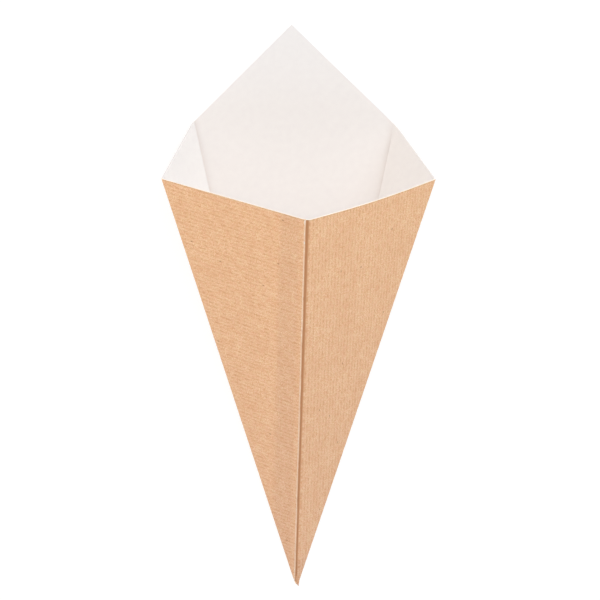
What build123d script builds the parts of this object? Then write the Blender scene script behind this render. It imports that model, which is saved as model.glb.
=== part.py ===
from build123d import *
from math import acos, cos, degrees, radians, sin, sqrt, tan
import os

# A food cone folded from one die-cut sheet of fine ribbed board. Five creases
# fan out from the tip corner, and a glue flap on the right front panel is
# lapped under the left front panel. The cone lies on its back panel, tip
# towards -Y, open mouth towards +Y, lapped seam on top.

# Sheet, in millimetres
SEAM_LENGTH = 190.0  # tip to rim along the seam, one side of the blank
BOARD = 0.6  # board thickness

# Angles of the panels at the tip corner, in degrees, round the cone
FRONT_LEFT_ANGLE = 22.3
LEFT_ANGLE = 10.1
BACK_ANGLE = 24.2
RIGHT_ANGLE = 9.9
FRONT_RIGHT_ANGLE = 21.9

# How far the two side panels are folded up from the flat back, in degrees
LEFT_FOLD = 57.5
RIGHT_FOLD = 54.5

# Lapped seam: the left panel's raw edge stops short of the seam fold, and the
# flap under it tapers at the tip and slants back from the rim
RAW_EDGE_SETBACK = 0.75
FLAP_WIDTH = 14.0
FLAP_RIM_SLANT = 15.0  # degrees off the rim
FLAP_TAPER_SHARE = 0.9  # of the left front panel's angle, which keeps the flap inside it

TIP = Vector(0, 0, 0)
BLANK_ANGLE = FRONT_LEFT_ANGLE + LEFT_ANGLE + BACK_ANGLE + RIGHT_ANGLE + FRONT_RIGHT_ANGLE


def rim_distance(angle):
    """Distance from the tip to the rim, at an angle from the blank's nearer seam side."""
    return SEAM_LENGTH / cos(radians(angle))


def flat_direction(turn):
    """Unit direction in the back panel's plane, turned from its middle line towards +X."""
    return Vector(sin(radians(turn)), cos(radians(turn)), 0)


def seam_direction(left, right):
    """Upper direction that makes the front panels' angles with the two side creases."""
    across = left.dot(right)
    cos_left = cos(radians(FRONT_LEFT_ANGLE))
    cos_right = cos(radians(FRONT_RIGHT_ANGLE))
    between = left * (cos_left - across * cos_right) + right * (cos_right - across * cos_left)
    between = between / (1 - across**2)
    rise = sqrt(1 - between.length**2)
    return between + right.cross(left).normalized() * rise


def outward(first, second):
    """Outer normal of the panel between two creases, named in order round the cone."""
    return first.cross(second).normalized()


def square_to(direction, towards):
    """Unit vector square to a crease, in the plane of that crease and another direction."""
    return (towards - direction * towards.dot(direction)).normalized()


def panel(outline, normal):
    """Flat panel: its inner outline made one board thick, with its cuts square to the board."""
    return extrude(make_face(Polyline(*outline, close=True)), BOARD, dir=normal)


def crease(start, end, normal_from, normal_to):
    """Rounded outside of a fold, one board thick about its inner line."""
    line = end - start
    turn = degrees(acos(normal_from.dot(normal_to)))
    fold = Cylinder(BOARD, line.length, arc_size=turn, align=(Align.NONE, Align.NONE, Align.MIN))
    return Plane(origin=start, x_dir=normal_from, z_dir=line) * fold


# Crease directions from the tip: back left, side left, seam, side right, back right
back_left = flat_direction(-BACK_ANGLE / 2)
back_right = flat_direction(BACK_ANGLE / 2)
side_left = flat_direction(-BACK_ANGLE / 2 - LEFT_ANGLE).rotate(Axis(TIP, back_left), LEFT_FOLD)
side_right = flat_direction(BACK_ANGLE / 2 + RIGHT_ANGLE).rotate(Axis(TIP, back_right), -RIGHT_FOLD)
seam = seam_direction(side_left, side_right)

# Rim corners on the inner face, where the creases meet the two straight far sides of the blank
left_corner = side_left * rim_distance(FRONT_LEFT_ANGLE)
back_left_corner = back_left * rim_distance(FRONT_LEFT_ANGLE + LEFT_ANGLE)
peak_turn = BLANK_ANGLE / 2 - FRONT_LEFT_ANGLE - LEFT_ANGLE - BACK_ANGLE / 2
peak = flat_direction(peak_turn) * rim_distance(BLANK_ANGLE / 2)
back_right_corner = back_right * rim_distance(FRONT_RIGHT_ANGLE + RIGHT_ANGLE)
right_corner = side_right * rim_distance(FRONT_RIGHT_ANGLE)

# Outer normals of the panels
front_left_normal = outward(seam, side_left)
left_normal = outward(side_left, back_left)
back_normal = outward(back_left, back_right)
right_normal = outward(back_right, side_right)
front_right_normal = outward(side_right, seam)

# The seam fold runs beside the seam line, so that the flap's outer face lies on
# the inner face of the left front panel
lap_left = square_to(seam, side_left)
lap_right = square_to(seam, side_right)
fold_offset = BOARD / sin(acos(lap_left.dot(lap_right)))
fold_start = side_right * (fold_offset / sin(radians(FRONT_RIGHT_ANGLE)))
fold_end = seam * SEAM_LENGTH + lap_right * fold_offset


def front_left_panel():
    """Outer layer of the lapped seam, cut back from the seam fold by a raw edge along it."""
    raw_edge_start = side_left * (RAW_EDGE_SETBACK / sin(radians(FRONT_LEFT_ANGLE)))
    raw_edge_end = seam * SEAM_LENGTH + lap_left * RAW_EDGE_SETBACK
    return panel([raw_edge_start, left_corner, raw_edge_end], front_left_normal)


def glue_flap():
    """Inner layer of the lapped seam, one board inside the left front panel."""
    taper_length = FLAP_WIDTH / tan(radians(FLAP_TAPER_SHARE * FRONT_LEFT_ANGLE))
    slant_length = FLAP_WIDTH * tan(radians(FLAP_RIM_SLANT))
    taper_end = fold_start + seam * taper_length + lap_left * FLAP_WIDTH
    slant_end = fold_end - seam * slant_length + lap_left * FLAP_WIDTH
    return panel([fold_start, taper_end, slant_end, fold_end], front_left_normal)


def folded_cone():
    """The whole sheet: panels, flap, rounded creases and the pinched tip, as one solid."""
    pieces = [
        front_left_panel(),
        panel([TIP, back_left_corner, left_corner], left_normal),
        panel([TIP, back_right_corner, peak, back_left_corner], back_normal),
        panel([TIP, right_corner, back_right_corner], right_normal),
        panel([fold_start, fold_end, right_corner], front_right_normal),
        glue_flap(),
        crease(TIP, left_corner, left_normal, front_left_normal),
        crease(TIP, back_left_corner, back_normal, left_normal),
        crease(TIP, back_right_corner, right_normal, back_normal),
        crease(TIP, right_corner, front_right_normal, right_normal),
        crease(fold_start, fold_end, front_left_normal, front_right_normal),
        Sphere(BOARD),
    ]
    return pieces[0].fuse(*pieces[1:]).clean()


def rest_on_back(cone):
    """Moved so that the origin is under the middle of its box, on the back panel's outer face."""
    box = cone.bounding_box()
    return Location((-box.center().X, -box.center().Y, -box.min.Z)) * cone


os.makedirs("parts", exist_ok=True)
export_step(rest_on_back(folded_cone()), "parts/folded_cone.step")
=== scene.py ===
# %% [markdown]
# # A food cone folded from one sheet of ribbed board
# The cone in this lesson is a single die-cut sheet, with ribbed kraft paper outside and a white lining
# inside. It could be modelled panel by panel, but then the ribs would not run on round the folds. So it
# is made as its maker makes it: a flat blank is cut, then a Geometry Nodes tree folds it along its
# creases.

# %% Load the frame
from math import cos, degrees, pi, radians, sin, sqrt, tan

import bmesh
import bpy
from mathutils import Matrix, Vector, noise


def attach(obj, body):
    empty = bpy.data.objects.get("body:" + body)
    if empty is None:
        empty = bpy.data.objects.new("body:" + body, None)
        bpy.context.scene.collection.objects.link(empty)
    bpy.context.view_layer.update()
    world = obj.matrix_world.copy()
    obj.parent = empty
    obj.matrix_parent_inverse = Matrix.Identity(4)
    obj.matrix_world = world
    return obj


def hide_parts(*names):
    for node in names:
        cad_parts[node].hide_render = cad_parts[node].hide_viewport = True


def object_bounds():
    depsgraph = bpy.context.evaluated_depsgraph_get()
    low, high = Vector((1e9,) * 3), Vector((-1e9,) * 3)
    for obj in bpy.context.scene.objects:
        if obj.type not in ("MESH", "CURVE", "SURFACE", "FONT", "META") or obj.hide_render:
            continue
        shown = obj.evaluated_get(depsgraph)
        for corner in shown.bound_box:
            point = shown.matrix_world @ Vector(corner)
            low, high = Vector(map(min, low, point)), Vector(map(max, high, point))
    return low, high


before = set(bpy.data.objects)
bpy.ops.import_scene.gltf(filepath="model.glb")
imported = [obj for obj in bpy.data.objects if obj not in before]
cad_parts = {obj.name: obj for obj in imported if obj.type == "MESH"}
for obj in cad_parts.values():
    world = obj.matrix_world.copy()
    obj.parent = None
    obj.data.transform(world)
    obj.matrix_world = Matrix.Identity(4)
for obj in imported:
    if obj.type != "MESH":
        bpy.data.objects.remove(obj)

cad_low, cad_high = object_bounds()
print("CAD box", [round(v, 4) for v in (*cad_low, *cad_high)])

# %% [markdown]
# ## The sheet's sizes
# All lengths are in metres, written as millimetres times MM. The blank has one corner at the cone's tip.
# Five panels fan out from that corner, and the two straight far sides of the blank become the rim of the
# mouth. The angles add up to a little less than a right angle, and each far side is square to the seam
# side beside it.

# %% Sheet sizes
MM = 0.001
CM = 10 * MM
SEAM_LENGTH = 190.0 * MM  # tip to rim along the seam
BOARD = 0.6 * MM
FRONT_LEFT, LEFT, BACK, RIGHT, FRONT_RIGHT = (radians(a) for a in (22.3, 10.1, 24.2, 9.9, 21.9))
LEFT_FOLD = radians(57.5)
RIGHT_FOLD = radians(54.5)
RAW_EDGE_SETBACK = 0.75 * MM
FLAP_WIDTH = 14.0 * MM
FLAP_RIM_SLANT = radians(15.0)
FLAP_TAPER_SHARE = 0.9  # of the left front panel's angle, so that the flap stays under that panel
FLAP_TAPER = FLAP_TAPER_SHARE * FRONT_LEFT

RAW_TURN = -(BACK / 2 + LEFT + FRONT_LEFT)  # turns are measured from the back panel's middle line
SIDE_LEFT_TURN = -(BACK / 2 + LEFT)
SIDE_RIGHT_TURN = BACK / 2 + RIGHT
FOLD_TURN = BACK / 2 + RIGHT + FRONT_RIGHT
print("angle at the tip corner, degrees:", round(degrees(FOLD_TURN - RAW_TURN), 2))

# %% [markdown]
# ## How far each crease is folded
# The two folds beside the back panel are known. The other three follow, because the front panels have to
# meet: the seam must make the left front panel's angle with one side crease and the right one's with the
# other. So the seam's direction is solved first, and each fold is the angle between two panels' outer
# normals.

# %% Fold angles
UP = Vector((0, 0, 1))


def flat_direction(turn):
    """Unit direction on the flat sheet, which lies in the back panel's plane."""
    return Vector((sin(turn), cos(turn), 0))


back_left, back_right = flat_direction(-BACK / 2), flat_direction(BACK / 2)
side_left = Matrix.Rotation(LEFT_FOLD, 3, back_left) @ flat_direction(SIDE_LEFT_TURN)
side_right = Matrix.Rotation(-RIGHT_FOLD, 3, back_right) @ flat_direction(SIDE_RIGHT_TURN)
sides_cosine = side_left.dot(side_right)
between = side_left * (cos(FRONT_LEFT) - sides_cosine * cos(FRONT_RIGHT))
between += side_right * (cos(FRONT_RIGHT) - sides_cosine * cos(FRONT_LEFT))
between /= 1 - sides_cosine**2
seam = between + side_right.cross(side_left).normalized() * sqrt(1 - between.length_squared)

front_left_normal = seam.cross(side_left).normalized()
left_normal = side_left.cross(back_left).normalized()
right_normal = back_right.cross(side_right).normalized()
front_right_normal = side_right.cross(seam).normalized()
SIDE_LEFT_FOLD = left_normal.angle(front_left_normal)
SIDE_RIGHT_FOLD = right_normal.angle(front_right_normal)
SEAM_FOLD = front_right_normal.angle(front_left_normal)
print("folds, degrees:", [round(degrees(f), 1) for f in (SIDE_LEFT_FOLD, SIDE_RIGHT_FOLD, SEAM_FOLD)])

# %% [markdown]
# ## The die-cut blank
# The flat sheet's outline has only eight corners. It starts beside the tip, runs up the raw edge that
# will show on the seam, over the tall point of the mouth, and back down the seam fold with its glue flap.
# The tip corner itself is worn off, slanting from the left side crease down to the right one. The seam
# fold stands off the seam line by a little more than the board, so that the flap lies under its panel.

# %% Outline of the blank
TIP_CUT = 0.15 * MM
FOLD_OFFSET = BOARD / sin(SEAM_FOLD)
along_raw, into_from_raw = flat_direction(RAW_TURN), flat_direction(RAW_TURN + pi / 2)
along_fold, into_from_fold = flat_direction(FOLD_TURN), flat_direction(FOLD_TURN - pi / 2)
half_blank = (FOLD_TURN - RAW_TURN) / 2
peak = flat_direction(RAW_TURN + half_blank) * (SEAM_LENGTH / cos(half_blank))
fold_start = flat_direction(SIDE_RIGHT_TURN) * (FOLD_OFFSET / sin(FRONT_RIGHT))
fold_end = along_fold * SEAM_LENGTH + into_from_fold * FOLD_OFFSET
flap_out = into_from_fold * -FLAP_WIDTH
outline = [
    flat_direction(SIDE_LEFT_TURN) * (RAW_EDGE_SETBACK / sin(FRONT_LEFT)),
    along_raw * SEAM_LENGTH + into_from_raw * RAW_EDGE_SETBACK,
    peak,
    fold_end,
    fold_end - along_fold * (FLAP_WIDTH * tan(FLAP_RIM_SLANT)) + flap_out,
    fold_start + along_fold * (FLAP_WIDTH / tan(FLAP_TAPER)) + flap_out,
    fold_start,
    flat_direction(SIDE_RIGHT_TURN) * TIP_CUT,
]
blank = bmesh.new()
blank.faces.new([blank.verts.new(corner) for corner in outline])
blank_area = sum(face.calc_area() for face in blank.faces)
print("blank area, square centimetres:", round(blank_area / CM**2, 1))

# %% [markdown]
# ## Lines the sheet can bend along
# A face can only bend where it has an edge. Bisect Plane draws straight lines right across the flat
# blank: four to each rib, a few beside every crease for a rounded fold, and some square to the ribs so
# that a panel can bow. The ribs run parallel to the seam fold, so they go round the cone and meet the
# left panel's raw edge square on.

# %% Rib, crease and cross lines
RIB_PITCH = 1.83 * MM
LINES_PER_RIB = 4
CROSS_SPACING = 9.0 * MM
CREASE_HALF_ANGLE = radians(0.12)
SOFT_HALF_ANGLE = radians(1.2)  # the right back crease opens to this near the rim
SEAM_HALF_WIDTH = 0.3 * MM
CREASE_SHARES = (-1, -0.5, 0, 0.5, 1)
SOFT_SHARES = (-1, -0.8, -0.6, -0.4, -0.2, 0.2, 0.4, 0.6, 0.8, 1)
FLAP_LINES = (1.2 * MM, 2.5 * MM, 6.0 * MM)  # from the seam fold
ON_LINE = 0.00001 * MM  # points nearer than this to a line are on it


def draw_line(point, square):
    """Cuts every face of the blank along the straight line through a point, square to a direction."""
    everything = blank.verts[:] + blank.edges[:] + blank.faces[:]
    bmesh.ops.bisect_plane(blank, geom=everything, dist=ON_LINE, plane_co=point, plane_no=square)


rib_step = RIB_PITCH / LINES_PER_RIB
seam_lines = [FOLD_OFFSET + share * SEAM_HALF_WIDTH for share in CREASE_SHARES]
flap_lines = [FOLD_OFFSET - width for width in FLAP_LINES]
first_rib = int((FOLD_OFFSET + SEAM_HALF_WIDTH) / rib_step) + 1
rib_lines = [i * rib_step for i in range(first_rib, int(SEAM_LENGTH / rib_step) + 1)]
for offset in flap_lines + seam_lines + rib_lines:
    draw_line(into_from_fold * offset, into_from_fold)
for i in range(1, int(SEAM_LENGTH / CROSS_SPACING) + 1):
    draw_line(along_fold * (i * CROSS_SPACING), along_fold)
crease_turns = [
    turn + share * CREASE_HALF_ANGLE
    for turn in (SIDE_LEFT_TURN, -BACK / 2, BACK / 2, SIDE_RIGHT_TURN)
    for share in CREASE_SHARES
] + [BACK / 2 + share * SOFT_HALF_ANGLE for share in SOFT_SHARES]
for turn in crease_turns:
    draw_line(Vector(), flat_direction(turn + pi / 2))
print("flat blank:", len(blank.faces), "faces,", len(rib_lines) // LINES_PER_RIB, "ribs")

# %% [markdown]
# ## A cut edge that is not quite straight
# The raw edge on the seam was cut through soft board, so it wavers a little and has a few torn nicks. Its
# points are moved by smooth noise, which always gives the same value at the same place.

# %% Waver the raw edge
EDGE_WAVER, WAVER_LENGTH = 0.12 * MM, 9.0 * MM
NICK_DEPTH, NICK_LENGTH = 0.35 * MM, 2.2 * MM
NICK_LEVEL = 0.42  # the noise above this is a nick
WAVER_ROW, NICK_ROW = 0.5, 7.5  # two lines across the noise, so that waver and nicks differ
ON_EDGE = 0.0001 * MM  # points nearer than this to the raw edge are on it
raw_edge = [v for v in blank.verts if abs(v.co.dot(into_from_raw) - RAW_EDGE_SETBACK) < ON_EDGE]
for vert in raw_edge:
    along = vert.co.dot(along_raw)
    waver = EDGE_WAVER * noise.noise(Vector((along / WAVER_LENGTH, WAVER_ROW, 0)))
    nick = NICK_DEPTH * max(0, noise.noise(Vector((along / NICK_LENGTH, NICK_ROW, 0))) - NICK_LEVEL)
    vert.co += into_from_raw * (waver + nick)
print("raw edge points:", len(raw_edge))

# %% [markdown]
# ## Thickness, blank coordinates and finishes
# Extruding every face gives the sheet its board thickness, with the kraft face below and the lining
# above. Each corner keeps its place on the flat blank as a UV map, so patterns will follow the paper
# round the folds. A number on each face says which finish it will get: the kraft outside, the lining
# inside or the cut edge.

# %% Thicken the blank
KRAFT, LINING, CUT = 0, 1, 2
CUT_SLOPE = 0.5  # a face whose normal rises or falls less than this is a cut
extruded = bmesh.ops.extrude_face_region(blank, geom=blank.faces[:], use_keep_orig=True)["geom"]
kraft_verts = [g for g in extruded if isinstance(g, bmesh.types.BMVert)]
bmesh.ops.translate(blank, verts=kraft_verts, vec=-UP * BOARD)
bmesh.ops.recalc_face_normals(blank, faces=blank.faces[:])

blank_map = blank.loops.layers.uv.new("blank")
finish = blank.faces.layers.int.new("finish")
for face in blank.faces:
    is_cut = abs(face.normal.z) < CUT_SLOPE
    face[finish] = CUT if is_cut else LINING if face.normal.z > 0 else KRAFT
    face.smooth = face[finish] != CUT
    for loop in face.loops:
        loop[blank_map].uv = (loop.vert.co.dot(along_fold), loop.vert.co.dot(into_from_fold))
for edge in blank.edges:
    edge.smooth = len({face[finish] for face in edge.link_faces}) == 1
sheet = bpy.data.meshes.new("flat_blank")
blank.to_mesh(sheet)
blank.free()
cone = bpy.data.objects.new("folded_board_cone", sheet)
bpy.context.scene.collection.objects.link(cone)
print("sheet with thickness:", len(sheet.polygons), "faces")

# %% [markdown]
# ## Helpers for nodes, colours and materials
# Materials and Geometry Nodes trees are both node trees, so one function adds a node to either. It sets
# the node's properties, then fills each named or numbered input with a value or with a link. Colours are
# written as sRGB hex, as a paint program shows them, and turned into the linear values Blender works in.
# Each finish below is described as a base colour and a list of layers over it, and all of them are laid
# by one loop at the end.

# %% Node and colour helpers
def add_node(tree, kind, inputs=None, **settings):
    """Adds a node with its settings, and gives its inputs values or links."""
    node = tree.nodes.new(kind)
    for name, value in settings.items():
        setattr(node, name, value)
    for key, value in (inputs or {}).items():
        if isinstance(value, bpy.types.NodeSocket):
            tree.links.new(value, node.inputs[key])
        else:
            node.inputs[key].default_value = value
    return node


def linear(hex_colour):
    """Linear RGBA of an sRGB hex colour."""
    parts = [int(hex_colour[i : i + 2], 16) / 255 for i in (1, 3, 5)]
    return (*[c / 12.92 if c <= 0.04045 else ((c + 0.055) / 1.055) ** 2.4 for c in parts], 1)


def new_material(name):
    """Empty node material, with its shader linked to its output."""
    material = bpy.data.materials.new(name)
    material.use_nodes = True
    material.node_tree.nodes.clear()
    shader = add_node(material.node_tree, "ShaderNodeBsdfPrincipled")
    add_node(material.node_tree, "ShaderNodeOutputMaterial", {"Surface": shader.outputs[0]})
    return material, material.node_tree, shader


finishes = []  # tree, shader, base colour and layers of each finish
print("middle grey in linear light:", [round(c, 3) for c in linear("#808080")])

# %% [markdown]
# ## Kraft paper
# Unbleached kraft is a dull brown paper of long wood fibres, rolled but not coated. To the eye it is matt
# and warm: a fine mottle of fibre clumps, broad patches where the pulp lay thicker, and a few that are
# redder. A picture of paper could be wrapped round the cone, but it would stretch and repeat. Noise drawn
# on the blank's own coordinates does neither, and it turns with each panel as the paper does.

# %% Kraft fibres
FIBRE = (0.65 * MM, 0.5 * MM)  # real fibres are far finer: these are clumps, as coarse as they need to show
FIBRE_RELIEF = 0.008 * MM
BLOTCH = (4.4 * MM, 3.6 * MM)  # where the pulp lay thicker, along and across the ribs
BLOTCH_SHARE = 0.28
MOTTLE_SPREAD = (0.44, 0.84)  # the noise values that give the darkest and the palest paper
CLOUD, CLOUD_SPREAD, CLOUD_AMOUNT = 14.0 * MM, (0.35, 0.65), 0.25
TINT, TINT_SPREAD = 2.4 * MM, (0.3, 0.7)
KRAFT_ROUGHNESS, KRAFT_SHINE = (0.8, 0.9), 0.25
kraft, tree, shader = new_material("ribbed_kraft_paper")
shader.inputs["Specular IOR Level"].default_value = KRAFT_SHINE
place = add_node(tree, "ShaderNodeUVMap", uv_map="blank").outputs["UV"]
patches = []
for along_size, across_size in (FIBRE, BLOTCH):
    scale = (1 / along_size, 1 / across_size, 1)
    scaled = add_node(tree, "ShaderNodeMapping", {"Vector": place, "Scale": scale}).outputs[0]
    patches.append(add_node(tree, "ShaderNodeTexNoise", {"Vector": scaled, "Scale": 1.0}).outputs[0])
fibres, blotches = patches
mottle = add_node(
    tree, "ShaderNodeMath", {0: blotches, 1: BLOTCH_SHARE, 2: fibres}, operation="MULTIPLY_ADD"
).outputs[0]
mottle = add_node(
    tree, "ShaderNodeMapRange", {"Value": mottle, "From Min": MOTTLE_SPREAD[0], "From Max": MOTTLE_SPREAD[1]}
).outputs[0]
cloud = add_node(tree, "ShaderNodeTexNoise", {"Vector": place, "Scale": 1 / CLOUD, "Detail": 2.0}).outputs[0]
cloud = add_node(
    tree,
    "ShaderNodeMapRange",
    {"Value": cloud, "From Min": CLOUD_SPREAD[0], "From Max": CLOUD_SPREAD[1], "To Max": CLOUD_AMOUNT},
).outputs[0]
tint = add_node(tree, "ShaderNodeTexNoise", {"Vector": place, "Scale": 1 / TINT, "Detail": 1.0}).outputs[0]
tint = add_node(
    tree, "ShaderNodeMapRange", {"Value": tint, "From Min": TINT_SPREAD[0], "From Max": TINT_SPREAD[1]}
).outputs[0]
roughness = add_node(
    tree, "ShaderNodeMapRange", {"Value": fibres, "To Min": KRAFT_ROUGHNESS[0], "To Max": KRAFT_ROUGHNESS[1]}
).outputs[0]
tree.links.new(roughness, shader.inputs["Roughness"])
relief = add_node(tree, "ShaderNodeBump", {"Height": fibres, "Distance": FIBRE_RELIEF}).outputs[0]
tree.links.new(relief, shader.inputs["Normal"])
kraft_layers = [(mottle, "#FFDEB5", "MIX"), (cloud, "#E8B68B", "MIX"), (tint, "#FFF8FC", "MULTIPLY")]
print("fibre clumps", [round(size / MM, 2) for size in FIBRE], "mm")

# %% [markdown]
# ## Rib valleys and dark fibres
# The rib valleys are painted darker in broken dashes: painted shade that adds to the shading of the ribs'
# relief. A cosine across the ribs finds the valleys, and noise stretched along them breaks the lines up.
# Here and there a single dark fibre shows, which a Voronoi texture scatters, one to a cell.

# %% Rib valleys on the kraft
VALLEY_SPREAD = (0.4, -1.0)  # from the shoulder of a rib down to the bottom of its valley
DASH = (1.9 * MM, 1.2 * MM)  # length of a dark stretch of valley, and how far it reaches across
DASH_SPREAD, DASH_AMOUNT = (0.38, 0.76), 0.62
FLECK, FLECK_CORE = 0.36 * MM, 0.12 * MM  # where a dark fibre fades out, and where it is darkest
FLECK_SPACING, FLECK_STRETCH, FLECK_AMOUNT = 20.0 * MM, 2.2, 0.65
# On the blank, X runs along the seam fold and Y across the ribs
on_blank = add_node(tree, "ShaderNodeSeparateXYZ", {0: place}).outputs
valley = add_node(
    tree, "ShaderNodeMath", {0: on_blank["Y"], 1: 2 * pi / RIB_PITCH}, operation="MULTIPLY"
).outputs[0]
valley = add_node(tree, "ShaderNodeMath", {0: valley}, operation="COSINE").outputs[0]
valley = add_node(
    tree, "ShaderNodeMapRange", {"Value": valley, "From Min": VALLEY_SPREAD[0], "From Max": VALLEY_SPREAD[1]}
).outputs[0]
scale = (1 / DASH[0], 1 / DASH[1], 1)
scaled = add_node(tree, "ShaderNodeMapping", {"Vector": place, "Scale": scale}).outputs[0]
dashes = add_node(tree, "ShaderNodeTexNoise", {"Vector": scaled, "Scale": 1.0, "Detail": 1.0}).outputs[0]
dashes = add_node(
    tree,
    "ShaderNodeMapRange",
    {"Value": dashes, "From Min": DASH_SPREAD[0], "From Max": DASH_SPREAD[1], "To Max": DASH_AMOUNT},
).outputs[0]
# painted shade: the rib valleys are painted darker, in dashes
painted_valley_shade = add_node(tree, "ShaderNodeMath", {0: valley, 1: dashes}, operation="MULTIPLY").outputs[0]
scale = (1 / (FLECK_SPACING * FLECK_STRETCH), 1 / FLECK_SPACING, 1)
scaled = add_node(tree, "ShaderNodeMapping", {"Vector": place, "Scale": scale}).outputs[0]
fleck = add_node(
    tree, "ShaderNodeTexVoronoi", {"Vector": scaled, "Scale": 1.0}, voronoi_dimensions="2D"
).outputs["Distance"]
fleck = add_node(
    tree,
    "ShaderNodeMapRange",
    {
        "Value": fleck,
        "From Min": FLECK / FLECK_SPACING,
        "From Max": FLECK_CORE / FLECK_SPACING,
        "To Max": FLECK_AMOUNT,
    },
).outputs[0]
kraft_layers += [(painted_valley_shade, "#D39364", "MIX"), (fleck, "#A0633C", "MIX")]
print("ribs every", RIB_PITCH / MM, "mm")

# %% [markdown]
# ## Painted seam shadow and glued flap
# The seam fold is pressed hard, and beside it a dark strip is painted, a little wider at the rim than at the
# tip: painted shadow under the raw edge and in the fold's curve, over slightly darker pressed board. The flap
# glued underneath shows through the left panel as a faint band, as wide as the flap. Each mark is a distance
# on the blank turned into an amount, so it needs no extra geometry.

# %% Painted seam shadow and glued flap
SEAM_SHADOW_AT_TIP, SEAM_SHADOW_FADE = 0.27 * MM, 0.3 * MM
SEAM_SHADOW_GROWTH = 0.00125  # how much wider the dark strip gets for each length along the fold
GLUE_FROM, GLUE_FULL = 2.0 * MM, 4.0 * MM  # from the raw edge, where the glue starts and where it is thick
GLUE_MARGIN, GLUE_FADE = 1.0 * MM, 1.6 * MM
GLUE_TO = FLAP_WIDTH - GLUE_MARGIN
DRY_AMOUNT = 0.3  # the glue stops short of the raw edge
# painted shadow: a dark strip beside the seam fold, for the raw edge's shadow and the fold's curve, partly
# pressed board
seam_shadow_width = add_node(
    tree, "ShaderNodeMath", {0: on_blank["X"], 1: SEAM_SHADOW_GROWTH, 2: SEAM_SHADOW_AT_TIP}, operation="MULTIPLY_ADD"
).outputs[0]
pressed_seam_shadow = add_node(
    tree, "ShaderNodeMath", {0: on_blank["Y"], 1: seam_shadow_width}, operation="SUBTRACT"
).outputs[0]
pressed_seam_shadow = add_node(
    tree, "ShaderNodeMapRange", {"Value": pressed_seam_shadow, "From Min": SEAM_SHADOW_FADE, "From Max": 0.0}
).outputs[0]
raw_square = (along_fold.dot(into_from_raw), into_from_fold.dot(into_from_raw), 0)
from_raw = add_node(
    tree, "ShaderNodeVectorMath", {0: place, 1: raw_square}, operation="DOT_PRODUCT"
).outputs["Value"]
from_raw = add_node(
    tree, "ShaderNodeMath", {0: from_raw, 1: RAW_EDGE_SETBACK}, operation="SUBTRACT"
).outputs[0]
glued = add_node(
    tree,
    "ShaderNodeMapRange",
    {"Value": from_raw, "From Min": GLUE_TO + GLUE_FADE, "From Max": GLUE_TO - GLUE_FADE},
).outputs[0]
wetted = add_node(
    tree,
    "ShaderNodeMapRange",
    {"Value": from_raw, "From Min": GLUE_FROM, "From Max": GLUE_FULL, "To Min": DRY_AMOUNT},
).outputs[0]
glued = add_node(tree, "ShaderNodeMath", {0: glued, 1: wetted}, operation="MULTIPLY").outputs[0]
kraft_layers += [(pressed_seam_shadow, "#C38E65", "MIX"), (glued, "#F8F7F9", "MULTIPLY")]
print("glued band", round(GLUE_TO / MM, 1), "mm wide")

# %% [markdown]
# ## Frayed edge
# The raw edge is frayed to the pale core of the board, more in some places, and torn open where it ends
# at the tip. Loose fibres would be far too many to model, so the fraying is a colour: the distance from
# the cut, broken up by noise.

# %% Frayed raw edge
FRAY_FROM, FRAY_TO, FRAY_LENGTH = 0.7 * MM, 0.35 * MM, 1.5 * MM
TORN_SPREAD, TORN_AMOUNTS = (0.55, 0.7), (0.5, 1.0)
TORN_FROM, TORN_TO = 4.5 * MM, 3.0 * MM  # from the tip, where the edge is torn open
fray = add_node(
    tree, "ShaderNodeMapRange", {"Value": from_raw, "From Min": FRAY_FROM, "From Max": FRAY_TO}
).outputs[0]
torn = add_node(
    tree, "ShaderNodeTexNoise", {"Vector": place, "Scale": 1 / FRAY_LENGTH, "Detail": 1.0}
).outputs[0]
torn = add_node(
    tree,
    "ShaderNodeMapRange",
    {
        "Value": torn,
        "From Min": TORN_SPREAD[0],
        "From Max": TORN_SPREAD[1],
        "To Min": TORN_AMOUNTS[0],
        "To Max": TORN_AMOUNTS[1],
    },
).outputs[0]
reach = add_node(tree, "ShaderNodeVectorMath", {0: place}, operation="LENGTH").outputs["Value"]
torn_end = add_node(
    tree, "ShaderNodeMapRange", {"Value": reach, "From Min": TORN_FROM, "From Max": TORN_TO}
).outputs[0]
torn = add_node(tree, "ShaderNodeMath", {0: torn, 1: torn_end}, operation="MAXIMUM").outputs[0]
fray = add_node(tree, "ShaderNodeMath", {0: fray, 1: torn}, operation="MULTIPLY").outputs[0]
kraft_layers.append((fray, "#FFEAD2", "MIX"))
print("frayed to", round(FRAY_FROM / MM, 2), "mm from the cut")

# %% [markdown]
# ## Rim shadow, worn places and tip shade
# Along the rim a thin darker line is painted: painted shadow just under the cut rim. Near it, where fingers
# open the cone, a few places on the raw edge are worn white, and painted shade greys the paper towards the
# tip. These are distances on the blank too. The base colour, under all the layers, is the darkest of the
# plain paper.

# %% Rim shadow, worn places and tip shade
RIM_FROM, RIM_TO = 0.8 * MM, 0.4 * MM
WORN_LENGTH, WORN_SPREAD = 4.0 * MM, (0.5, 0.58)
WORN_FROM, WORN_TO = 26.0 * MM, 13.0 * MM  # below the rim
TIP_REACH = 200.0 * MM
raw_run = (along_fold.dot(along_raw), into_from_fold.dot(along_raw), 0)
up_left = add_node(
    tree, "ShaderNodeVectorMath", {0: place, 1: raw_run}, operation="DOT_PRODUCT"
).outputs["Value"]
to_rim = add_node(tree, "ShaderNodeMath", {0: on_blank["X"], 1: up_left}, operation="MAXIMUM").outputs[0]
to_rim = add_node(tree, "ShaderNodeMath", {0: SEAM_LENGTH, 1: to_rim}, operation="SUBTRACT").outputs[0]
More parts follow.
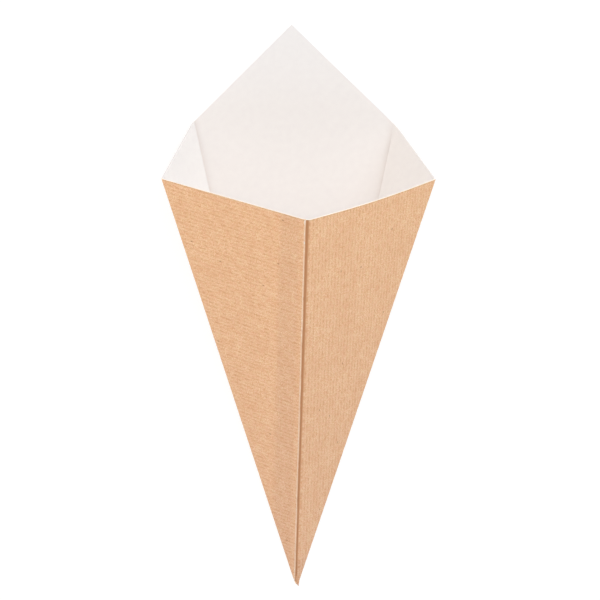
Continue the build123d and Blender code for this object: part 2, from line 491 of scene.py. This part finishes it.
# painted shadow: a thin darker line just under the rim
rim = add_node(
    tree, "ShaderNodeMapRange", {"Value": to_rim, "From Min": RIM_FROM, "From Max": RIM_TO}
).outputs[0]
worn = add_node(
    tree, "ShaderNodeTexNoise", {"Vector": place, "Scale": 1 / WORN_LENGTH, "Detail": 1.0}
).outputs[0]
worn = add_node(
    tree, "ShaderNodeMapRange", {"Value": worn, "From Min": WORN_SPREAD[0], "From Max": WORN_SPREAD[1]}
).outputs[0]
by_rim = add_node(
    tree, "ShaderNodeMapRange", {"Value": to_rim, "From Min": WORN_FROM, "From Max": WORN_TO}
).outputs[0]
for limit in (by_rim, fray):
    worn = add_node(tree, "ShaderNodeMath", {0: worn, 1: limit}, operation="MULTIPLY").outputs[0]
# painted shade: the kraft greys towards the tip
painted_tip_shade = add_node(
    tree, "ShaderNodeMapRange", {"Value": reach, "From Min": TIP_REACH, "From Max": 0.0}
).outputs[0]
kraft_layers += [
    (worn, "#FFFDF8", "MIX"),
    (rim, "#F4F7F8", "MULTIPLY"),
    (painted_tip_shade, "#F7F7FF", "MULTIPLY"),
]
finishes.append((tree, shader, "#E8AF7C", kraft_layers))
print("material", kraft.name, "with", len(kraft_layers), "layers")

# %% [markdown]
# ## White lining
# The inside is a bleached liner with a thin coat: smooth, dull and very slightly warm, with a faint
# cloudiness. Beside the back panel's two creases it is painted a little grey, as painted shade, which draws
# the creases as the eye sees them. The right crease opens out near the rim, and its painted shade ends where
# that starts.
# Towards the tall point the lining is painted very slightly greyer and cooler, as painted cooler light.

# %% White lining
LINER_PATCH = 3.0 * MM
LINER_ROUGHNESS, LINER_SHINE = (0.55, 0.65), 0.3
CREASE_SHADE, SHADE_POWER = 4.0 * MM, 3.0
SOFT_FROM, SOFT_TO = 213.0 * MM, 224.0 * MM  # where the right back crease opens, from the tip
COOL_LIGHT_FROM, COOL_LIGHT_TO = 228.0 * MM, 262.0 * MM  # towards the tall point of the rim
lining, tree, shader = new_material("white_coated_liner")
shader.inputs["Specular IOR Level"].default_value = LINER_SHINE
place = add_node(tree, "ShaderNodeUVMap", uv_map="blank").outputs["UV"]
patch = add_node(
    tree, "ShaderNodeTexNoise", {"Vector": place, "Scale": 1 / LINER_PATCH, "Detail": 3.0}
).outputs[0]
roughness = add_node(
    tree, "ShaderNodeMapRange", {"Value": patch, "To Min": LINER_ROUGHNESS[0], "To Max": LINER_ROUGHNESS[1]}
).outputs[0]
tree.links.new(roughness, shader.inputs["Roughness"])
reach = add_node(tree, "ShaderNodeVectorMath", {0: place}, operation="LENGTH").outputs["Value"]
on_blank = add_node(tree, "ShaderNodeSeparateXYZ", {0: place}).outputs
turn = add_node(tree, "ShaderNodeMath", {0: on_blank["Y"], 1: on_blank["X"]}, operation="ARCTAN2").outputs[0]
turn = add_node(tree, "ShaderNodeMath", {0: FOLD_TURN, 1: turn}, operation="SUBTRACT").outputs[0]
off_middle = add_node(tree, "ShaderNodeMath", {0: turn}, operation="ABSOLUTE").outputs[0]
inside = add_node(tree, "ShaderNodeMath", {0: BACK / 2, 1: off_middle}, operation="SUBTRACT").outputs[0]
from_crease = add_node(tree, "ShaderNodeMath", {0: inside, 1: reach}, operation="MULTIPLY").outputs[0]
# painted shade: grey beside the back panel's creases, on the back panel's side
shade = add_node(
    tree, "ShaderNodeMapRange", {"Value": from_crease, "From Min": CREASE_SHADE, "From Max": 0.0}
).outputs[0]
shade = add_node(tree, "ShaderNodeMath", {0: shade, 1: SHADE_POWER}, operation="POWER").outputs[0]
on_back = add_node(tree, "ShaderNodeMath", {0: inside, 1: 0.0}, operation="GREATER_THAN").outputs[0]
on_left = add_node(tree, "ShaderNodeMath", {0: turn, 1: 0.0}, operation="LESS_THAN").outputs[0]
crisp = add_node(
    tree, "ShaderNodeMapRange", {"Value": reach, "From Min": SOFT_TO, "From Max": SOFT_FROM}
).outputs[0]
crisp = add_node(tree, "ShaderNodeMath", {0: crisp, 1: on_left}, operation="MAXIMUM").outputs[0]
for limit in (on_back, crisp):
    shade = add_node(tree, "ShaderNodeMath", {0: shade, 1: limit}, operation="MULTIPLY").outputs[0]
# painted light: very slightly greyer and cooler towards the tall point
painted_cool_light = add_node(
    tree, "ShaderNodeMapRange", {"Value": reach, "From Min": COOL_LIGHT_FROM, "From Max": COOL_LIGHT_TO}
).outputs[0]
liner_layers = [
    (patch, "#FAF4EE", "MIX"),
    (shade, "#F1EDEB", "MULTIPLY"),
    (painted_cool_light, "#F9FBFD", "MULTIPLY"),
]
finishes.append((tree, shader, "#F4EDE8", liner_layers))
print("material", lining.name, "with", len(liner_layers), "layers")

# %% [markdown]
# ## Cut board edge
# A cut shows the core of the board between its two faces: pale, soft and uneven, like blotting paper. It
# is nearly white, and painted paler and warmer on the front panels' rim, as painted light from the mouth. The
# raw edge on the seam has been rubbed, and there it is closer to the kraft.

# %% Cut board
CORE_GRAIN, GRAIN_AMOUNT = 0.6 * MM, 0.2
RUBBED_FROM, RUBBED_TO = 2.25 * MM, 1.5 * MM  # from the seam line, so the raw edge is rubbed all along
CORE_ROUGHNESS, CORE_SHINE = (0.85, 0.95), 0.2
cut_board, tree, shader = new_material("cut_board_core")
shader.inputs["Specular IOR Level"].default_value = CORE_SHINE
place = add_node(tree, "ShaderNodeUVMap", uv_map="blank").outputs["UV"]
grain = add_node(
    tree, "ShaderNodeTexNoise", {"Vector": place, "Scale": 1 / CORE_GRAIN, "Detail": 1.0}
).outputs[0]
roughness = add_node(
    tree, "ShaderNodeMapRange", {"Value": grain, "To Min": CORE_ROUGHNESS[0], "To Max": CORE_ROUGHNESS[1]}
).outputs[0]
tree.links.new(roughness, shader.inputs["Roughness"])
grain = add_node(tree, "ShaderNodeMath", {0: grain, 1: GRAIN_AMOUNT}, operation="MULTIPLY").outputs[0]
from_raw = add_node(
    tree, "ShaderNodeVectorMath", {0: place, 1: raw_square}, operation="DOT_PRODUCT"
).outputs["Value"]
at_raw = add_node(
    tree,
    "ShaderNodeMapRange",
    {"Value": from_raw, "From Min": RUBBED_FROM, "From Max": RUBBED_TO},
).outputs[0]
on_blank = add_node(tree, "ShaderNodeSeparateXYZ", {0: place}).outputs
turn = add_node(tree, "ShaderNodeMath", {0: on_blank["Y"], 1: on_blank["X"]}, operation="ARCTAN2").outputs[0]
turn = add_node(tree, "ShaderNodeMath", {0: FOLD_TURN, 1: turn}, operation="SUBTRACT").outputs[0]
off_middle = add_node(tree, "ShaderNodeMath", {0: turn}, operation="ABSOLUTE").outputs[0]
# painted light: the cut on the front panels' rim is painted paler and warmer
lit_front_rim = add_node(
    tree, "ShaderNodeMath", {0: off_middle, 1: SIDE_RIGHT_TURN}, operation="GREATER_THAN"
).outputs[0]
core_layers = [(lit_front_rim, "#FFF3E2", "MIX"), (grain, "#F2DCC0", "MIX"), (at_raw, "#F4CFA8", "MIX")]
finishes.append((tree, shader, "#EFEAE8", core_layers))
print("material", cut_board.name, "with", len(core_layers), "layers")

# %% [markdown]
# ## Lay the colours
# Each layer is an amount, a colour and a way of blending. A Mix node lays it over what is below, from the
# base colour up, as glazes are laid in painting. The amounts are noise or distances on the blank, so no
# layer has an edge that has to be modelled.

# %% Colour layers
MIX_BELOW, MIX_LAYER, MIX_RESULT = 6, 7, 2  # the colour sockets of a Mix node, by number
for tree, shader, base, layers in finishes:
    paper = linear(base)
    for amount, colour, way in layers:
        inputs = {"Factor": amount, MIX_BELOW: paper, MIX_LAYER: linear(colour)}
        mix = add_node(tree, "ShaderNodeMix", inputs, data_type="RGBA", blend_type=way)
        paper = mix.outputs[MIX_RESULT]
    tree.links.new(paper, shader.inputs["Base Color"])
print("nodes in each finish:", [len(tree.nodes) for tree, *_ in finishes])

# %% [markdown]
# ## A crease as a node group
# Folding turns every point beyond a crease about the crease line. A sharp turn would be a paper-thin
# corner, so points within the half width go round an arc that leaves one panel and joins the other. The
# half width may grow away from the tip, which is how one crease of this cone opens out towards its rim. A
# node group can be used five times over, once for each crease, as a function would be in code.

# %% Crease group
crease = bpy.data.node_groups.new("crease", "GeometryNodeTree")
for name in ("Point", "Flat Point", "On Line", "Line", "Square"):
    crease.interface.new_socket(name, in_out="INPUT", socket_type="NodeSocketVector")
for name in ("Fold", "Half Width"):
    crease.interface.new_socket(name, in_out="INPUT", socket_type="NodeSocketFloat")
crease.interface.new_socket("Point", in_out="OUTPUT", socket_type="NodeSocketVector")
given = add_node(crease, "NodeGroupInput").outputs
half_width, square = given["Half Width"], given["Square"]
from_line = add_node(
    crease, "ShaderNodeVectorMath", {0: given["Flat Point"], 1: given["On Line"]}, operation="SUBTRACT"
).outputs[0]
distance = add_node(
    crease, "ShaderNodeVectorMath", {0: from_line, 1: square}, operation="DOT_PRODUCT"
).outputs["Value"]
minus_width = add_node(crease, "ShaderNodeMath", {0: half_width, 1: -1.0}, operation="MULTIPLY").outputs[0]
on_arc = add_node(
    crease, "ShaderNodeClamp", {"Value": distance, "Min": minus_width, "Max": half_width}
).outputs[0]
arc_turn = add_node(
    crease,
    "ShaderNodeMapRange",
    {"Value": on_arc, "From Min": minus_width, "From Max": half_width, "To Max": given["Fold"]},
).outputs[0]
used_up = add_node(crease, "ShaderNodeMath", {0: minus_width, 1: on_arc}, operation="SUBTRACT").outputs[0]
taken_back = add_node(
    crease, "ShaderNodeVectorMath", {0: square, "Scale": used_up}, operation="SCALE"
).outputs[0]
start = add_node(
    crease, "ShaderNodeVectorMath", {0: given["Point"], 1: taken_back}, operation="ADD"
).outputs[0]
print("crease group, up to the start of its arc:", len(crease.nodes), "nodes")

# %% [markdown]
# ## The arc of a crease
# The arc has to be tangent to both panels, so its radius is the half width over the tangent of half the
# fold. Its centre stands that far off the sheet, above the line where the arc begins.

# %% Arc of the crease
half_fold = add_node(crease, "ShaderNodeMath", {0: given["Fold"], 1: 0.5}, operation="MULTIPLY").outputs[0]
steepness = add_node(crease, "ShaderNodeMath", {0: half_fold}, operation="TANGENT").outputs[0]
steepness = add_node(crease, "ShaderNodeMath", {0: steepness}, operation="ABSOLUTE").outputs[0]
radius = add_node(crease, "ShaderNodeMath", {0: half_width, 1: steepness}, operation="DIVIDE").outputs[0]
arc_back = add_node(
    crease, "ShaderNodeVectorMath", {0: square, "Scale": minus_width}, operation="SCALE"
).outputs[0]
arc_up = add_node(crease, "ShaderNodeCombineXYZ", {"Z": radius}).outputs[0]
centre = add_node(crease, "ShaderNodeVectorMath", {0: arc_back, 1: arc_up}, operation="ADD").outputs[0]
centre = add_node(
    crease, "ShaderNodeVectorMath", {0: centre, 1: given["On Line"]}, operation="ADD"
).outputs[0]
folded = add_node(
    crease,
    "ShaderNodeVectorRotate",
    {"Vector": start, "Center": centre, "Axis": given["Line"], "Angle": arc_turn},
    rotation_type="AXIS_ANGLE",
).outputs[0]
add_node(crease, "NodeGroupOutput", {"Point": folded})
print("crease group:", len(crease.nodes), "nodes")

# %% [markdown]
# ## The folding tree and its sizes
# The tree takes the flat sheet, presses ribs into its kraft face, bows one panel, folds the five creases
# and closes the tip. Every size is a named input, so the cone can be opened or closed by dragging a
# number.

# %% Inputs of the folding tree
RIB_DEPTH = 0.06 * MM
FRONT_RIGHT_BOW = 1.75 * MM
PINCH_BASE = Vector((0.04, 3.7, 0.65)) * MM  # the board squeezed shut at the tip, from here
PINCH_END = Vector((0.85, -1.1, -0.1)) * MM  # down to here
PINCH_TOP = Vector((0.25, 7.5, 1.6)) * MM  # and running out into the seam here
PINCH_HALF_WIDTH = 1.55 * MM
fold_tree = bpy.data.node_groups.new("fold_blank", "GeometryNodeTree")
fold_tree.interface.new_socket("Geometry", in_out="INPUT", socket_type="NodeSocketGeometry")
fold_tree.interface.new_socket("Geometry", in_out="OUTPUT", socket_type="NodeSocketGeometry")
sizes = {
    "Board": BOARD,
    "Rib Pitch": RIB_PITCH,
    "Rib Depth": RIB_DEPTH,
    "Front Right Bow": FRONT_RIGHT_BOW,
    "Crease Half Angle": CREASE_HALF_ANGLE,
    "Soft Half Angle": SOFT_HALF_ANGLE,
    "Soft From": SOFT_FROM,
    "Soft To": SOFT_TO,
    "Seam Half Width": SEAM_HALF_WIDTH,
    "Side Left Fold": SIDE_LEFT_FOLD,
    "Back Left Fold": LEFT_FOLD,
    "Seam Fold": -SEAM_FOLD,
    "Side Right Fold": -SIDE_RIGHT_FOLD,
    "Back Right Fold": -RIGHT_FOLD,
    "Pinch Half Width": PINCH_HALF_WIDTH,
    "Pinch Length": (PINCH_END - PINCH_BASE).length,
    "Pinch Run-out": (PINCH_TOP - PINCH_BASE).length,
}
size_sockets = {
    name: fold_tree.interface.new_socket(name, in_out="INPUT", socket_type="NodeSocketFloat")
    for name in sizes
}
given = add_node(fold_tree, "NodeGroupInput").outputs
position = add_node(fold_tree, "GeometryNodeInputPosition").outputs[0]
flat = add_node(fold_tree, "ShaderNodeSeparateXYZ", {0: position}).outputs
print("folding tree inputs:", len(sizes))

# %% [markdown]
# ## Ribs
# The ribs are pressed into the kraft face only, and the lining stays smooth. While the sheet is flat they
# are a plain cosine of the distance from the seam fold, so no rib has to be modelled, and the folds will
# carry them round.

# %% Ribs in the folding tree
across_ribs = add_node(
    fold_tree, "ShaderNodeVectorMath", {0: position, 1: into_from_fold}, operation="DOT_PRODUCT"
).outputs["Value"]
ribs = add_node(
    fold_tree, "ShaderNodeMath", {0: across_ribs, 1: given["Rib Pitch"]}, operation="DIVIDE"
).outputs[0]
ribs = add_node(fold_tree, "ShaderNodeMath", {0: ribs, 1: 2 * pi}, operation="MULTIPLY").outputs[0]
ribs = add_node(fold_tree, "ShaderNodeMath", {0: ribs}, operation="COSINE").outputs[0]
half_depth = add_node(
    fold_tree, "ShaderNodeMath", {0: given["Rib Depth"], 1: -0.5}, operation="MULTIPLY"
).outputs[0]
half_board = add_node(
    fold_tree, "ShaderNodeMath", {0: given["Board"], 1: -0.5}, operation="MULTIPLY"
).outputs[0]
on_kraft = add_node(
    fold_tree, "ShaderNodeMath", {0: flat["Z"], 1: half_board}, operation="LESS_THAN"
).outputs[0]
past_fold = add_node(
    fold_tree, "ShaderNodeMath", {0: across_ribs, 1: FOLD_OFFSET + SEAM_HALF_WIDTH}, operation="GREATER_THAN"
).outputs[0]
for share in (half_depth, on_kraft, past_fold):
    ribs = add_node(fold_tree, "ShaderNodeMath", {0: ribs, 1: share}, operation="MULTIPLY").outputs[0]
print("ribs", RIB_DEPTH / MM, "mm deep")

# %% [markdown]
# ## A bowed panel
# Board that is held along two creases springs outwards between them. On this cone the right front panel
# does so, by a half sine across the panel that grows with the distance from the tip.

# %% Bow in the folding tree
from_middle = add_node(
    fold_tree, "ShaderNodeMath", {0: flat["X"], 1: flat["Y"]}, operation="ARCTAN2"
).outputs[0]
over_panel = add_node(
    fold_tree,
    "ShaderNodeMapRange",
    {"Value": from_middle, "From Min": SIDE_RIGHT_TURN, "From Max": FOLD_TURN, "To Max": pi},
).outputs[0]
bow = add_node(fold_tree, "ShaderNodeMath", {0: over_panel}, operation="SINE").outputs[0]
reach = add_node(fold_tree, "ShaderNodeVectorMath", {0: position}, operation="LENGTH").outputs["Value"]
outwards = add_node(
    fold_tree, "ShaderNodeMath", {0: reach, 1: -1 / SEAM_LENGTH}, operation="MULTIPLY"
).outputs[0]
for share in (outwards, given["Front Right Bow"]):
    bow = add_node(fold_tree, "ShaderNodeMath", {0: bow, 1: share}, operation="MULTIPLY").outputs[0]
lift = add_node(fold_tree, "ShaderNodeMath", {0: ribs, 1: bow}, operation="ADD").outputs[0]
lift = add_node(fold_tree, "ShaderNodeCombineXYZ", {"Z": lift}).outputs[0]
point = add_node(fold_tree, "ShaderNodeVectorMath", {0: position, 1: lift}, operation="ADD").outputs[0]
print("bow", FRONT_RIGHT_BOW / MM, "mm at the rim")

# %% [markdown]
# ## How wide the creases are
# Three of the creases narrow to nothing at the tip, where they meet, so their half width is an angle
# times the distance from there. The right back one does so too, but opens smoothly from tight to soft
# near the rim. The seam fold misses the tip, and is as wide all along.

# %% Crease widths in the folding tree
tight = add_node(
    fold_tree, "ShaderNodeMath", {0: reach, 1: given["Crease Half Angle"]}, operation="MULTIPLY"
).outputs[0]
soft = add_node(
    fold_tree,
    "ShaderNodeMapRange",
    {
        "Value": reach,
        "From Min": given["Soft From"],
        "From Max": given["Soft To"],
        "To Min": given["Crease Half Angle"],
        "To Max": given["Soft Half Angle"],
    },
    interpolation_type="SMOOTHSTEP",
).outputs[0]
soft = add_node(fold_tree, "ShaderNodeMath", {0: reach, 1: soft}, operation="MULTIPLY").outputs[0]
print("tight creases at the rim:", round(2 * SEAM_LENGTH * CREASE_HALF_ANGLE / MM, 2), "mm wide")

# %% [markdown]
# ## Five creases
# The outermost crease on each side is folded first, while everything nearer the back panel is still flat.
# Each use of the crease group takes the points as the last one left them, but measures on the flat sheet.
# Last, the whole cone is moved: its tall point and its back panel go where the CAD box has them, and its
# two side corners end up equally far from the middle.

# %% Creases in the folding tree
TIP = Vector((
    -(side_left / cos(FRONT_LEFT) + side_right / cos(FRONT_RIGHT)).x * SEAM_LENGTH / 2,
    cad_high.y - peak.y,
    cad_low.z + BOARD,
))
ON_TIP = Vector()
creases = [
    ("Side Left Fold", ON_TIP, SIDE_LEFT_TURN, -1, tight),
    ("Back Left Fold", ON_TIP, -BACK / 2, -1, tight),
    ("Seam Fold", into_from_fold * FOLD_OFFSET, FOLD_TURN, 1, given["Seam Half Width"]),
    ("Side Right Fold", ON_TIP, SIDE_RIGHT_TURN, 1, tight),
    ("Back Right Fold", ON_TIP, BACK / 2, 1, soft),
]
for name, on_line, line_turn, side, half_width in creases:
    inputs = {
        "Point": point,
        "Flat Point": position,
        "On Line": on_line,
        "Line": flat_direction(line_turn),
        "Square": flat_direction(line_turn + pi / 2) * side,
        "Fold": given[name],
        "Half Width": half_width,
    }
    point = add_node(fold_tree, "GeometryNodeGroup", inputs, node_tree=crease).outputs[0]
in_frame = add_node(fold_tree, "ShaderNodeVectorMath", {0: point, 1: TIP}, operation="ADD").outputs[0]
board_cone = add_node(
    fold_tree, "GeometryNodeSetPosition", {"Geometry": given["Geometry"], "Position": in_frame}
).outputs[0]
board_cone = add_node(
    fold_tree, "GeometryNodeSetMaterial", {"Geometry": board_cone, "Material": kraft}
).outputs[0]
print("creases:", [name for name, *_ in creases], "tip at", [round(v / MM, 2) for v in TIP], "mm")

# %% [markdown]
# ## Paper for the pinched tip
# At the very tip five layers of board are squeezed into a small wedge, too thick to fold one by one. It
# will be made of plain cones, which have no places on the blank. So each of their points is given one
# along the edge of the painted seam shadow, and the wedge is about as dark as that strip's edge.

# %% Paper places in the folding tree
# the wedge takes the colour of the painted seam shadow from this place
PINCH_PAPER = Vector((20.0, 0.45, 0)) * MM  # on the edge of the pressed fold
PINCH_SPREAD = Vector((0.1, 1.0, 0))  # paper used for each length across and along the cone
from_tip = add_node(
    fold_tree, "ShaderNodeVectorMath", {0: position, 1: TIP}, operation="SUBTRACT"
).outputs[0]
spread = add_node(
    fold_tree, "ShaderNodeVectorMath", {0: from_tip, 1: PINCH_SPREAD}, operation="MULTIPLY"
).outputs[0]
spread = add_node(fold_tree, "ShaderNodeSeparateXYZ", {0: spread}).outputs
on_paper = add_node(fold_tree, "ShaderNodeCombineXYZ", {"X": spread["Y"], "Y": spread["X"]}).outputs[0]
pinch_paper = add_node(
    fold_tree, "ShaderNodeVectorMath", {0: on_paper, 1: PINCH_PAPER}, operation="ADD"
).outputs[0]
print("paper for the tip from", [round(v / MM, 2) for v in PINCH_PAPER.xy], "mm on the blank")

# %% [markdown]
# ## The pinched tip
# Two Mesh Cones set base to base, flattened and leaned along the seam, stand for the squeezed board: one
# ends at the tip, and the other runs out into the seam.

# %% Pinched tip in the folding tree
PINCH_SIDES, PINCH_RINGS = 24, 6
PINCH_FLATNESS = 0.7
pinches = []
for pinch_end, length in ((PINCH_END, "Pinch Length"), (PINCH_TOP, "Pinch Run-out")):
    pinch = add_node(
        fold_tree,
        "GeometryNodeMeshCone",
        {
            "Vertices": PINCH_SIDES,
            "Side Segments": PINCH_RINGS,
            "Radius Top": 0.0,
            "Radius Bottom": given["Pinch Half Width"],
            "Depth": given[length],
        },
    ).outputs[0]
    pinch = add_node(fold_tree, "GeometryNodeSetShadeSmooth", {"Geometry": pinch}).outputs[0]
    pinch = add_node(
        fold_tree,
        "GeometryNodeTransform",
        {
            "Geometry": pinch,
            "Translation": TIP + PINCH_BASE,
            "Rotation": (pinch_end - PINCH_BASE).to_track_quat("Z", "Y").to_euler(),
            "Scale": (1.0, PINCH_FLATNESS, 1.0),
        },
    ).outputs[0]
    pinch = add_node(
        fold_tree,
        "GeometryNodeStoreNamedAttribute",
        {"Geometry": pinch, "Name": "blank", "Value": pinch_paper},
        data_type="FLOAT2",
        domain="CORNER",
    ).outputs[0]
    pinches.append(
        add_node(fold_tree, "GeometryNodeReplaceMaterial", {"Geometry": pinch, "New": kraft}).outputs[0]
    )
    print(length, round(sizes[length] / MM, 2), "mm")

# %% [markdown]
# ## Finishes on the faces
# Join Geometry puts sheet and tip together, and Realize Instances makes them plain geometry. Everything
# is kraft so far. Two Set Material nodes then pick out the lining and the cuts by their finish number.

# %% Finishes in the folding tree
joined = add_node(fold_tree, "GeometryNodeJoinGeometry", {0: board_cone})
for pinch in pinches:
    fold_tree.links.new(pinch, joined.inputs[0])
made = add_node(fold_tree, "GeometryNodeRealizeInstances", {0: joined.outputs[0]}).outputs[0]
number = add_node(
    fold_tree, "GeometryNodeInputNamedAttribute", {"Name": "finish"}, data_type="INT"
).outputs[0]
COMPARE_A, COMPARE_B = 2, 3  # the whole-number sockets of a Compare node
for wanted, material in ((LINING, lining), (CUT, cut_board)):
    inputs = {COMPARE_A: number, COMPARE_B: wanted}
    chosen = add_node(
        fold_tree, "FunctionNodeCompare", inputs, data_type="INT", operation="EQUAL"
    ).outputs[0]
    made = add_node(
        fold_tree, "GeometryNodeSetMaterial", {"Geometry": made, "Selection": chosen, "Material": material}
    ).outputs[0]
add_node(fold_tree, "NodeGroupOutput", {0: made})
print("folding tree:", len(fold_tree.nodes), "nodes")

# %% [markdown]
# ## Fold it and keep the result
# The modifier's inputs are set by their socket identifiers, then the evaluated object is turned into a
# plain mesh. After that the modifier and the flat blank are no longer needed. The cone stands for the
# plain solid of the same sheet, and rides on the only body there is.

# %% Fold the blank
folding = cone.modifiers.new("fold_blank", "NODES")
folding.node_group = fold_tree
for name, socket in size_sockets.items():
    folding[socket.identifier] = sizes[name]
evaluated = cone.evaluated_get(bpy.context.evaluated_depsgraph_get())
folded_mesh = bpy.data.meshes.new_from_object(evaluated)
cone.modifiers.clear()
cone.data = folded_mesh
folded_mesh.name = "folded_board_cone"
bpy.data.meshes.remove(sheet)
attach(cone, "root")
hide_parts("folded_cone")
triangles = sum(len(p.vertices) - 2 for p in folded_mesh.polygons)
print("folded cone:", triangles, "triangles, materials", [m.name for m in folded_mesh.materials])

# %% [markdown]
# ## A white ground
# The ground is plain white. The floor glows for the camera and in reflections, so that it reaches white
# without more light on the cone, and its diffuse part still takes the cone's soft shadow. Far off, where
# the lamps fade, it glows more. For the soft light that bounces off it, it is a plain pale floor.

# %% Floor
FLOOR_DROP = 0.15 * MM  # the ribs stand this far clear of it
FLOOR_SIZE = 6.0  # metres
FLOOR_GLOW, FAR_GLOW = 0.8, 1.0
GLOW_FROM, GLOW_TO = 0.6, 2.0  # metres from the middle, where the glow starts to rise and where it is full
bpy.ops.mesh.primitive_plane_add(size=FLOOR_SIZE, location=(0, 0, cad_low.z - FLOOR_DROP))
floor = bpy.context.object
floor.name = "floor"
floor_paint, tree, shader = new_material("white_floor")
shader.inputs["Base Color"].default_value = linear("#E6E6E6")
shader.inputs["Roughness"].default_value = 1.0
shader.inputs["Specular IOR Level"].default_value = 0.0
on_floor = add_node(tree, "ShaderNodeTexCoord").outputs["Object"]
off_centre = add_node(tree, "ShaderNodeVectorMath", {0: on_floor}, operation="LENGTH").outputs["Value"]
strength = add_node(
    tree,
    "ShaderNodeMapRange",
    {
        "Value": off_centre,
        "From Min": GLOW_FROM,
        "From Max": GLOW_TO,
        "To Min": FLOOR_GLOW,
        "To Max": FAR_GLOW,
    },
).outputs[0]
glow = add_node(tree, "ShaderNodeEmission", {"Color": linear("#FFFFFF"), "Strength": strength}).outputs[0]
matt = add_node(tree, "ShaderNodeBsdfDiffuse", {"Color": linear("#8C8C8C")}).outputs[0]
seen_floor = add_node(tree, "ShaderNodeAddShader", {0: glow, 1: matt}).outputs[0]
rays = add_node(tree, "ShaderNodeLightPath").outputs
seen = rays["Is Camera Ray"]
for name in ("Is Glossy Ray", "Is Transmission Ray"):
    seen = add_node(tree, "ShaderNodeMath", {0: seen, 1: rays[name]}, operation="MAXIMUM").outputs[0]
mixed = add_node(tree, "ShaderNodeMixShader", {0: seen, 1: shader.outputs[0], 2: seen_floor}).outputs[0]
surface = [node for node in tree.nodes if node.type == "OUTPUT_MATERIAL"][0].inputs["Surface"]
tree.links.new(mixed, surface)
floor.data.materials.append(floor_paint)
print("floor at", round(floor.location.z, 5))

# %% [markdown]
# ## A white tent all round
# The world is a dim white tent that fills the shadows. The camera and reflections see it as plain white.

# %% World
AMBIENT = 0.289
world = bpy.data.worlds.new("white_tent")
bpy.context.scene.world = world
world.use_nodes = True
tree = world.node_tree
tree.nodes.clear()
rays = add_node(tree, "ShaderNodeLightPath").outputs
seen = rays["Is Camera Ray"]
for name in ("Is Glossy Ray", "Is Transmission Ray"):
    seen = add_node(tree, "ShaderNodeMath", {0: seen, 1: rays[name]}, operation="MAXIMUM").outputs[0]
tent = add_node(tree, "ShaderNodeBackground", {"Color": linear("#FFFFFF"), "Strength": AMBIENT}).outputs[0]
white = add_node(tree, "ShaderNodeBackground", {"Color": linear("#FFFFFF"), "Strength": 1.0}).outputs[0]
ground = add_node(tree, "ShaderNodeMixShader", {0: seen, 1: tent, 2: white}).outputs[0]
add_node(tree, "ShaderNodeOutputWorld", {"Surface": ground})
print("world", world.name)

# %% [markdown]
# ## Soft studio light
# Five large panels of light stand round the cone. Two beyond the mouth reach inside it, one hangs by the
# camera, and two on the left and at the tip light the ribs from the side, so that their relief shows.

# %% Lights
PANEL_SIZE = 0.9  # metres


def softbox(name, place, power, colour):
    """Square panel of light that faces the cone."""
    lamp = bpy.data.lights.new(name, "AREA")
    lamp.size = PANEL_SIZE
    lamp.energy = power
    lamp.color = linear(colour)[:3]
    light = bpy.data.objects.new(name, lamp)
    light.location = place
    light.rotation_euler = (-Vector(place)).to_track_quat("-Z", "Y").to_euler()
    bpy.context.scene.collection.objects.link(light)


SOFTBOXES = {  # place in metres, power in watts, colour
    "right_mouth_softbox": ((0.95, 0.95, 0.6), 11.4, "#EDF7FF"),
    "left_mouth_softbox": ((-0.95, 0.95, 0.6), 5.2, "#F4F9FF"),
    "camera_softbox": ((-0.05, 0.45, 1.45), 5.9, "#FFF9FB"),
    "left_softbox": ((-1.1, 0.1, 0.8), 2.7, "#FFF8EB"),
    "tip_softbox": ((0.0, -1.1, 0.9), 6.6, "#FFFFFF"),
}
for name, (place, power, colour) in SOFTBOXES.items():
    softbox(name, place, power, colour)
print("lights:", list(SOFTBOXES))

# %% [markdown]
# ## The camera
# The view is almost straight down on the cone, a little from its open end and its left, through a long
# lens. The camera is built from the direction it looks in, so that its roll can be set by itself.

# %% Camera
CAMERA_PLACE = Vector((-38.95, 62.93, 817.19)) * MM
CAMERA_AIM = Vector((1.64, 3.87, 0.0)) * MM
CAMERA_ROLL = radians(-0.21)
CAMERA_LENS = 104.2  # on a 36 mm sensor
looking = (CAMERA_AIM - CAMERA_PLACE).normalized()
rightwards = looking.cross(Vector((0, 1, 0))).normalized()
upright = Matrix((rightwards, rightwards.cross(looking), -looking)).transposed()
camera = bpy.data.objects.new("camera", bpy.data.cameras.new("camera"))
camera.data.lens = CAMERA_LENS
rolled = upright @ Matrix.Rotation(CAMERA_ROLL, 3, "Z")
camera.matrix_world = Matrix.Translation(CAMERA_PLACE) @ rolled.to_4x4()
bpy.context.scene.collection.objects.link(camera)
bpy.context.scene.camera = camera
bpy.context.scene.view_settings.view_transform = "Standard"
print("camera", [round(v, 3) for v in CAMERA_PLACE])
